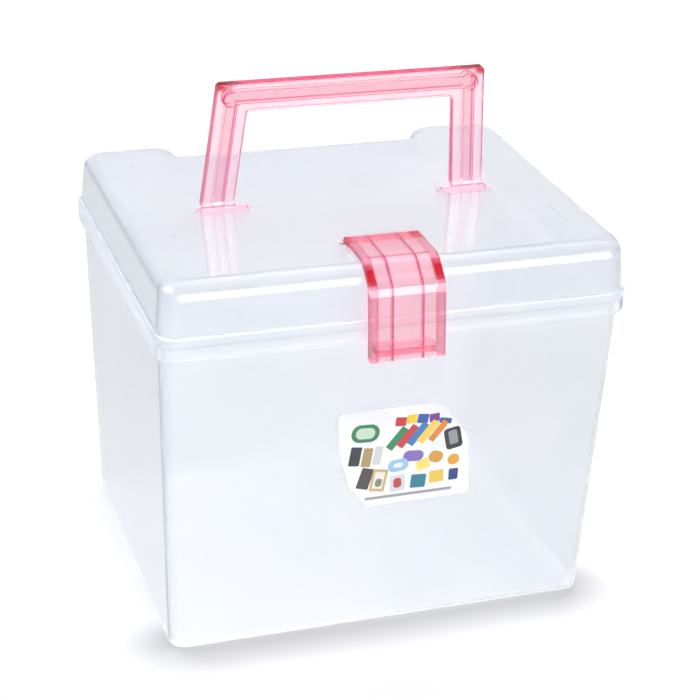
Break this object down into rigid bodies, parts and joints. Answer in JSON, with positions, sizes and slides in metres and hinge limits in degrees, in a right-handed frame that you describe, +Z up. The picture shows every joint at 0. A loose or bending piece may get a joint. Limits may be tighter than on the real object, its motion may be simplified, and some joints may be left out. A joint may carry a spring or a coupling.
{
  "type": "photo keeper case",
  "caption": "Clear tapered storage box with a hinged lid, a folding carrying handle and a front snap latch, for photo prints and small craft parts.",
  "frame": {"origin": "middle of the tub's footprint, on the surface that it stands on", "axes": "+Z up, -Y the front with the latch, +X to the right seen from the front"},
  "size_m": [0.25, 0.2192, 0.2799],
  "materials": {
    "clear_plastic": "clear, glossy, a faint cool haze",
    "pink_plastic": "see-through pink, glossy",
    "label_film": "white printed film, slightly satin"
  },
  "bodies": {
    "tub": {"tub": "clear_plastic", "label": "label_film"},
    "lid": {"lid": "clear_plastic"},
    "handle": {"handle": "pink_plastic"},
    "latch": {"latch": "pink_plastic"}
  },
  "joints": [
    {"name": "lid_hinge", "type": "hinge", "parent": "tub", "child": "lid", "pos_m": [0, 0.1047, 0.1774], "axis": [-1, 0, 0], "range_deg": [0, 105]},
    {"name": "handle_pivot", "type": "hinge", "parent": "lid", "child": "handle", "pos_m": [0, -0.007, 0.2077], "axis": [1, 0, 0], "range_deg": [-12, 77]},
    {"name": "latch_pivot", "type": "hinge", "parent": "lid", "child": "latch", "pos_m": [0, -0.065, 0.2087], "axis": [-1, 0, 0], "range_deg": [0, 100]}
  ]
}
